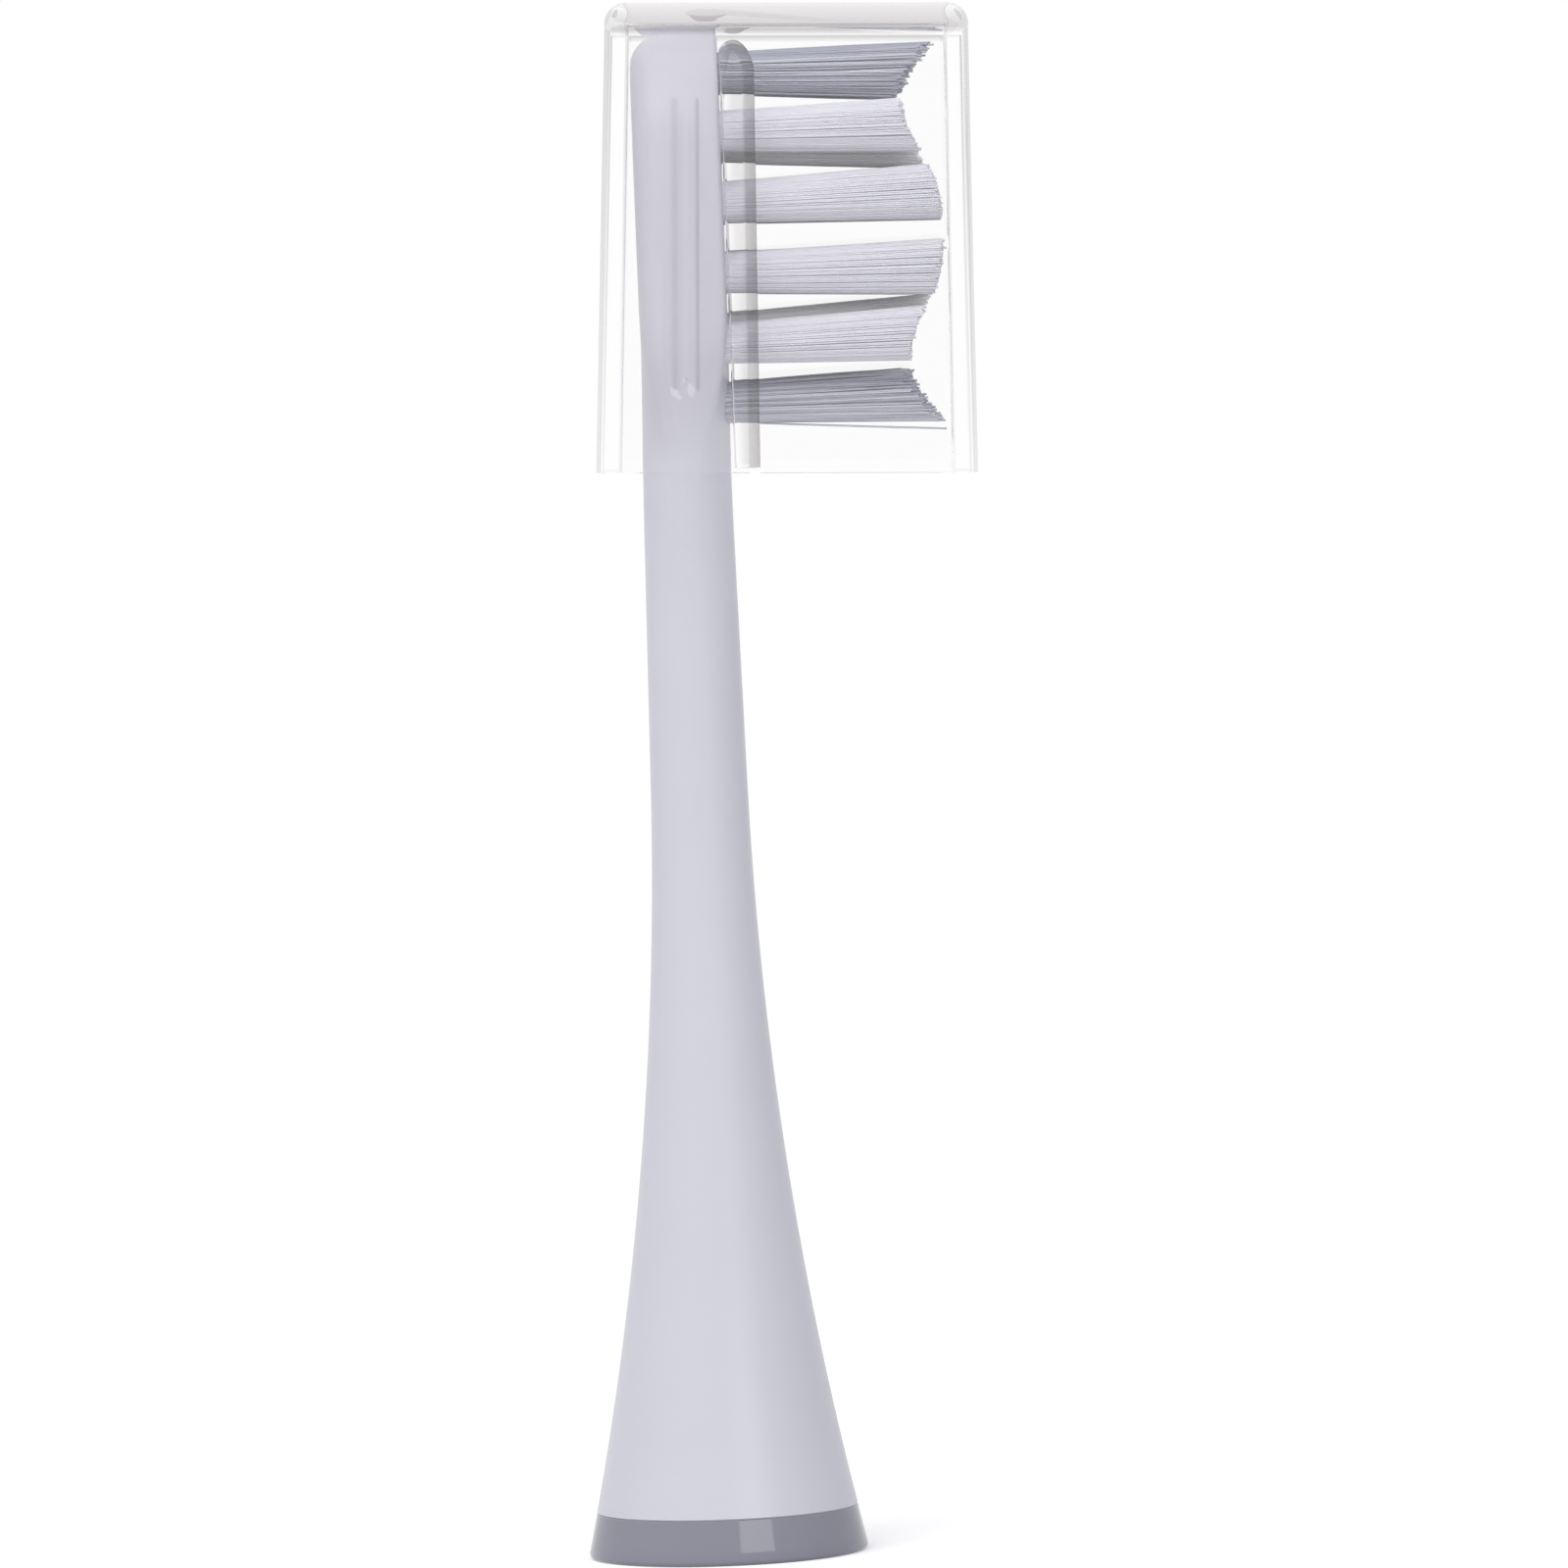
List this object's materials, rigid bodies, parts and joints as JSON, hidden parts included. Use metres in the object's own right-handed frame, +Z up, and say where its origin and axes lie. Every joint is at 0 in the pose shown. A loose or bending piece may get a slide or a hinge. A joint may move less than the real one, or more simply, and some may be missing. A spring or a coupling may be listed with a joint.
{
  "type": "electric toothbrush head",
  "caption": "Replacement head for a sonic toothbrush: flared neck, oval plate of wave-trimmed bristle tufts, grey base ring and push-on drive socket, under a clear pull-off travel cap.",
  "frame": {"origin": "centre of the base ring's standing face", "axes": "+Z up the neck, +X the way the bristles point, +Y across the head"},
  "size_m": [0.0244, 0.0166, 0.086],
  "materials": {
    "white_plastic": "smooth glossy moulding",
    "grey_plastic": "smooth glossy moulding",
    "socket_plastic": "plain moulding",
    "spring_steel": "rolled strip",
    "white_bristle": "fine filaments",
    "grey_bristle": "fine filaments",
    "anchor_brass": "cut wire",
    "clear_plastic": "clear polished moulding"
  },
  "bodies": {
    "head": {"brush_body": "white_plastic", "base_ring": "grey_plastic", "drive_socket": "socket_plastic", "spring_clip": "spring_steel", "edge_tuft_1": "white_bristle", "edge_tuft_2": "white_bristle", "edge_tuft_3": "white_bristle", "edge_tuft_4": "white_bristle", "edge_tuft_5": "white_bristle", "edge_tuft_6": "white_bristle", "edge_tuft_7": "white_bristle", "edge_tuft_8": "white_bristle", "centre_tuft_1": "grey_bristle", "centre_tuft_2": "grey_bristle", "centre_tuft_3": "grey_bristle", "centre_tuft_4": "grey_bristle", "centre_tuft_5": "grey_bristle", "centre_tuft_6": "grey_bristle", "centre_tuft_7": "grey_bristle", "centre_tuft_8": "grey_bristle", "end_tuft_1": "grey_bristle", "end_tuft_2": "grey_bristle", "end_tuft_3": "grey_bristle", "end_tuft_4": "grey_bristle", "tuft_anchors": "anchor_brass"},
    "cap": {"travel_cap": "clear_plastic"}
  },
  "joints": [
    {"name": "cap_slide", "type": "slide", "parent": "head", "child": "cap", "axis": [0, 0, 1], "range_m": [0, 0.03]}
  ]
}
